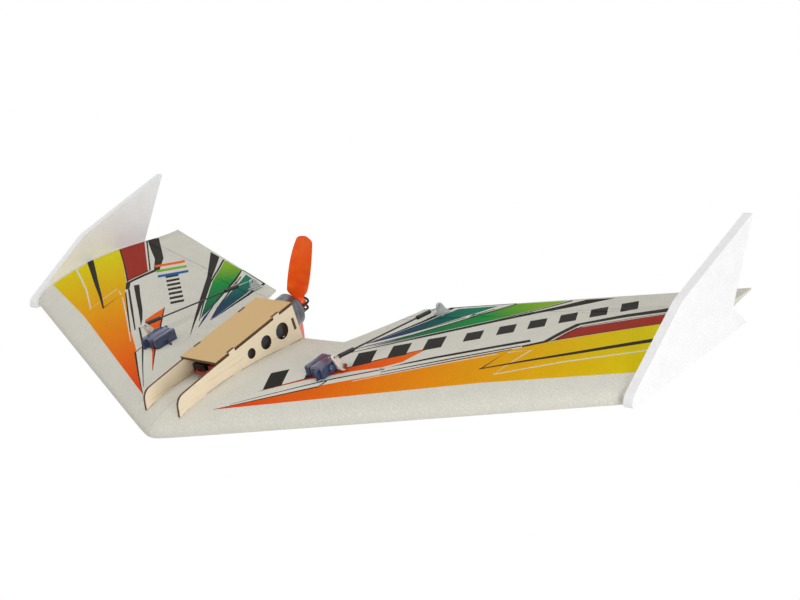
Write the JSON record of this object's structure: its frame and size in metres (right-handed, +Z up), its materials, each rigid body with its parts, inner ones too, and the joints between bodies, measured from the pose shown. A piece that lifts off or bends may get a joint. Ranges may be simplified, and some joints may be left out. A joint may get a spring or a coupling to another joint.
{
  "type": "radio-controlled flying wing",
  "caption": "Small foam flying wing with swept panels, tip fins, hinged elevons moved by servos and pushrods, a plywood pod and a pusher propeller.",
  "frame": {"origin": "underside of the spar strip, on the centreline, where the belly lies flat", "axes": "+X to the left wing tip, +Y to the tail, +Z up"},
  "size_m": [0.6, 0.3011, 0.1151],
  "materials": {
    "aluminium": "turned, grey",
    "battery_wrap": "dark shrink wrap",
    "birch": "laser-cut birch plywood with scorched edges",
    "birch_cover": "laser-cut birch plywood, darker sheet",
    "black_nylon": "moulded nylon",
    "carbon": "carbon fibre, satin",
    "clear_nylon": "clear moulded plastic",
    "copper": "enamelled copper",
    "foam": "bead foam, white, colour film printed on the upper side",
    "foam_tape": "double-sided foam tape",
    "navy_case": "tinted translucent case",
    "orange_nylon": "moulded nylon, glossy",
    "red_plastic": "moulded connector",
    "red_silicone": "silicone-covered lead",
    "rubber": "black rubber ring",
    "shrink": "heat-shrink tube",
    "steel": "bright steel",
    "white_nylon": "moulded nylon"
  },
  "bodies": {
    "airframe": {"spar_strip": "carbon", "wing_panel_left": "foam", "wing_panel_right": "foam", "fin_left": "foam", "fin_right": "foam", "pod_side_left": "birch", "pod_side_right": "birch", "servo_case_left": "navy_case", "servo_case_right": "navy_case", "servo_cover_left": "navy_case", "servo_cover_right": "navy_case", "servo_lead_left": "black_nylon", "servo_lead_right": "black_nylon", "mount_screw_left": "steel", "mount_screw_right": "steel", "pod_cover": "birch_cover", "firewall": "birch", "battery_tape": "foam_tape", "controller_tape": "foam_tape", "receiver_tape": "foam_tape", "battery": "battery_wrap", "speed_controller": "shrink", "receiver": "black_nylon", "power_plug": "red_plastic", "power_lead": "red_silicone", "battery_lead": "red_silicone", "motor_lead_a": "copper", "motor_lead_b": "copper", "motor_lead_c": "copper", "motor_mount": "aluminium", "stator": "copper"},
    "elevon_left_body": {"elevon_left": "foam", "horn_left": "clear_nylon", "horn_plate_left": "clear_nylon"},
    "servo_arm_left_body": {"servo_arm_left": "white_nylon", "servo_shaft_left": "black_nylon", "arm_screw_left": "steel"},
    "pushrod_left_body": {"pushrod_left": "carbon", "front_wire_left": "steel", "rear_wire_left": "steel", "front_sleeve_left": "shrink", "rear_sleeve_left": "shrink"},
    "elevon_right_body": {"elevon_right": "foam", "horn_right": "clear_nylon", "horn_plate_right": "clear_nylon"},
    "servo_arm_right_body": {"servo_arm_right": "white_nylon", "servo_shaft_right": "black_nylon", "arm_screw_right": "steel"},
    "pushrod_right_body": {"pushrod_right": "carbon", "front_wire_right": "steel", "rear_wire_right": "steel", "front_sleeve_right": "shrink", "rear_sleeve_right": "shrink"},
    "rotor": {"motor_bell": "aluminium", "motor_shaft": "steel", "prop_saver": "aluminium", "saver_screw_a": "black_nylon", "saver_screw_b": "black_nylon", "o_ring": "rubber", "propeller": "orange_nylon"}
  },
  "joints": [
    {"name": "elevon_left_hinge", "type": "hinge", "parent": "airframe", "child": "elevon_left_body", "pos_m": [0.18247, 0.13933, 0.00651], "axis": [0.9514, 0.308, 0.0035], "range_deg": [-20, 20]},
    {"name": "servo_arm_left_turn", "type": "hinge", "parent": "airframe", "child": "servo_arm_left_body", "pos_m": [0.0962, 0.0102, 0.0203], "axis": [1, 0, 0], "range_deg": [-17.2, 17.2]},
    {"name": "pushrod_left_pivot", "type": "hinge", "parent": "servo_arm_left_body", "child": "pushrod_left_body", "pos_m": [0.0962, 0.00495, 0.02939], "axis": [1, 0, 0], "range_deg": [-15.6, 15.6]},
    {"name": "elevon_right_hinge", "type": "hinge", "parent": "airframe", "child": "elevon_right_body", "pos_m": [-0.18247, 0.13933, 0.00651], "axis": [0.9514, -0.308, -0.0035], "range_deg": [-20, 20]},
    {"name": "servo_arm_right_turn", "type": "hinge", "parent": "airframe", "child": "servo_arm_right_body", "pos_m": [-0.0962, 0.0102, 0.0203], "axis": [1, 0, 0], "range_deg": [-17.2, 17.2]},
    {"name": "pushrod_right_pivot", "type": "hinge", "parent": "servo_arm_right_body", "child": "pushrod_right_body", "pos_m": [-0.0962, 0.00495, 0.02939], "axis": [1, 0, 0], "range_deg": [-15.6, 15.6]},
    {"name": "rotor_spin", "type": "hinge", "parent": "airframe", "child": "rotor", "pos_m": [0, 0.06057, 0.02434], "axis": [0, 0.9976, 0.0698], "continuous": true}
  ],
  "couplings": [
    {"joint": "servo_arm_left_turn", "follows": "elevon_left_hinge", "ratio": 0.8467},
    {"joint": "pushrod_left_pivot", "follows": "elevon_left_hinge", "ratio": -0.7637},
    {"joint": "servo_arm_right_turn", "follows": "elevon_right_hinge", "ratio": 0.8467},
    {"joint": "pushrod_right_pivot", "follows": "elevon_right_hinge", "ratio": -0.7637}
  ]
}
